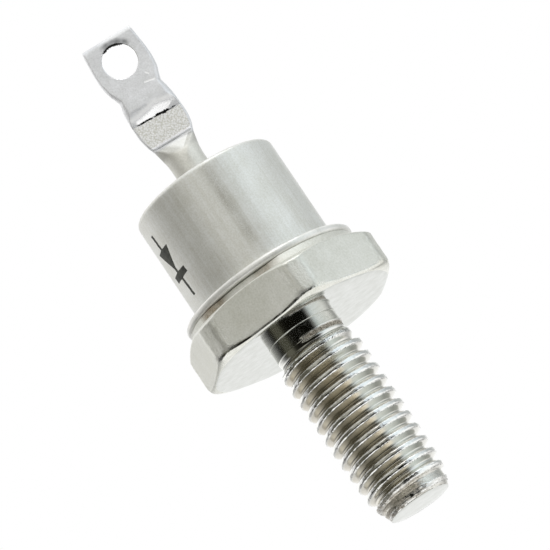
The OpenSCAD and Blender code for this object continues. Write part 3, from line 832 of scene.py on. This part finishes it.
# walls and the cream patch are listed by bearing; sky, ground, seam and the patch's height are sines of
# the elevation, and the patch is brighter than white, so its light is linear
studio = {"floorReach": 40, "floorDrop": 0.02, "floorColour": "#f2f2f0", "floorGlow": 0.6,
          "floorFade": (14, 34), "wallLight": 1.12, "wallSeam": (-0.05, 0.12), "sky": (0.42, 1.1),
          "ground": (-0.60, -0.68),
          "highWall": [(-180, 1.0), (-150, 1.0), (-122, 1.0), (-97, 0.50), (-76, "#57554b"),
                       (-50, "#4c4b41"), (-24, "#9e9d93"), (8, "#96958d"), (26, "#74736b"), (42, "#dce6ee"),
                       (60, "#effaff"), (90, "#cfd6da"), (115, "#a7abac"), (145, "#b3b6b5"), (165, 0.95),
                       (180, 1.0)],
          "lowWall": [(-180, 1.0), (-168, 0.95), (-140, 0.5), (-118, 0.24), (-100, 0.05),
                      (-88, "#302f28"), (-76, "#5a594f"), (-58, "#5a594f"), (-44, "#26251f"),
                      (-30, "#12110d"), (34, "#0d0d09"), (42, 0.22), (52, "#d9e0e4"), (62, "#f7fcff"),
                      (105, 1.0), (140, 0.45), (162, 0.9), (180, 1.0)],
          "creamAround": [(0, 0.0), (20, 1.0), (36, 1.0), (52, 0.0)],
          "creamHeight": [(0.46, 0.0), (0.64, 1.0), (0.80, 1.0), (0.92, 0.0)],
          "creamLight": (1.30, 1.25, 1.19, 1),
          "softbox": {"size": 250, "power": 0.30, "spot": (160, -50, 420), "colour": "#f4f9ff"},
          "frontFill": {"size": 350, "power": 1.12, "spot": (-50, -480, 120), "colour": "#fffefd"},
          "lens": 367.09, "sensor": 36.0, "nearest": 10, "farthest": 10000,
          "cameraSpot": (0.48121, -291.11624, -69.01905), "cameraRight": (0.82971, 0.13483, -0.54167),
          "cameraUp": (0.5582, -0.20042, 0.80514), "cameraBack": (0.0, -0.97039, -0.24155)}
white = (1, 1, 1, 1)

# a one-sided card that glows in part, so that it stays pale, and fades into the white beyond
floorMaterial, tree, shader, place = newMaterial("pale card")
path = addNode(tree, "LightPath").outputs
seen = maths(tree, "MAXIMUM", path["Is Camera Ray"], path["Is Transmission Ray"])
seen = maths(tree, "MULTIPLY", seen, studio["floorGlow"])
glow = addNode(tree, "Emission", {"Strength": 1.0}).outputs[0]
shown = addNode(tree, "MixShader", {0: seen, 1: shader.outputs[0], 2: glow}).outputs[0]
fadeStart, fadeEnd = (reach * mm for reach in studio["floorFade"])
gone = spread(tree, fromAxis(tree, place), 0.0, 1.0, fadeStart, fadeEnd)
gone = maths(tree, "MAXIMUM", addNode(tree, "NewGeometry").outputs["Backfacing"], gone)
gone = maths(tree, "MAXIMUM", gone, path["Is Glossy Ray"])  # mirrors look past it
clear = addNode(tree, "BsdfTransparent").outputs[0]
oneSided = addNode(tree, "MixShader", {0: gone, 1: shown, 2: clear}).outputs[0]
wire(tree, shader, {"Base Color": linear(studio["floorColour"]), "Roughness": 0.9})
wire(tree, tree.nodes["Material Output"], {"Surface": oneSided})

reach, low = studio["floorReach"] * mm, cadBox[0].z - studio["floorDrop"] * mm
corners = [(x * reach, y * reach, low) for x, y in ((-1, -1), (1, -1), (1, 1), (-1, 1))]
floorMesh = bpy.data.meshes.new("paleFloor")
floorMesh.from_pydata(corners, [], [(0, 1, 2, 3)])
floorMesh.materials.append(floorMaterial)
floor = bpy.data.objects.new("paleFloor", floorMesh)
bpy.context.scene.collection.objects.link(floor)


def roundRamp(tree, share, stops):  # stops by bearing, from -180 to 180
    return ramp(tree, share, [((bearing + 180) / 360, colour) for bearing, colour in stops])


# white above, below and behind, with a dark warm opening in front and a bright wall on the right
world = bpy.data.worlds.new("studio")
world.use_nodes = True
bpy.context.scene.world = world
tree = world.node_tree
tree.nodes.clear()
look = addNode(tree, "TexCoord").outputs["Generated"]
along = addNode(tree, "SeparateXYZ", {"Vector": look}).outputs
bearing = maths(tree, "ARCTAN2", along["X"], maths(tree, "MULTIPLY", along["Y"], -1.0))
share = spread(tree, bearing, 0.0, 1.0, -math.pi, math.pi)
rising = spread(tree, along["Z"], 0.0, 1.0, *studio["wallSeam"])
lowWall, highWall = (roundRamp(tree, share, studio[name]) for name in ("lowWall", "highWall"))
sky, ground = (spread(tree, along["Z"], 0.0, 1.0, *studio[name]) for name in ("sky", "ground"))
cream = roundRamp(tree, share, studio["creamAround"])
cream = maths(tree, "MULTIPLY", cream, ramp(tree, along["Z"], studio["creamHeight"]))
lit = mixTint(tree, rising, lowWall, highWall)
lit = mixTint(tree, maths(tree, "MAXIMUM", sky, ground), lit, white)
lit = mixTint(tree, cream, lit, studio["creamLight"])
room = addNode(tree, "Background", {"Color": lit, "Strength": studio["wallLight"]}).outputs[0]
backdrop = addNode(tree, "Background", {"Color": white, "Strength": 1.0}).outputs[0]
seen = addNode(tree, "LightPath").outputs["Is Camera Ray"]
both = addNode(tree, "MixShader", {0: seen, 1: room, 2: backdrop}).outputs[0]
addNode(tree, "OutputWorld", {"Surface": both})


def addLamp(name):  # a round softbox turned towards the part
    s = studio[name]
    lamp = bpy.data.lights.new(name, "AREA")
    lamp.shape = "DISK"
    lamp.size = s["size"] * mm
    lamp.energy = s["power"]
    lamp.color = linear(s["colour"])[:3]
    box = bpy.data.objects.new(name, lamp)
    box.location = Vector(s["spot"]) * mm
    box.rotation_euler = Vector(s["spot"]).to_track_quat("Z", "Y").to_euler()
    bpy.context.scene.collection.objects.link(box)
    return box


addLamp("softbox")
addLamp("frontFill").visible_glossy = False  # lights the satin, not the mirrors

lens = bpy.data.cameras.new("photoCamera")
lens.sensor_width = studio["sensor"]
lens.lens = studio["lens"]
lens.clip_start = studio["nearest"] * mm
lens.clip_end = studio["farthest"] * mm
camera = bpy.data.objects.new("photoCamera", lens)
axes = [studio[name] for name in ("cameraRight", "cameraUp", "cameraBack")]
axes.append([distance * mm for distance in studio["cameraSpot"]])
camera.matrix_world = Matrix([list(row) for row in zip(*axes)] + [[0, 0, 0, 1]])
bpy.context.scene.collection.objects.link(camera)
bpy.context.scene.camera = camera
bpy.context.scene.view_settings.view_transform = "Standard"
print("studio and camera placed")
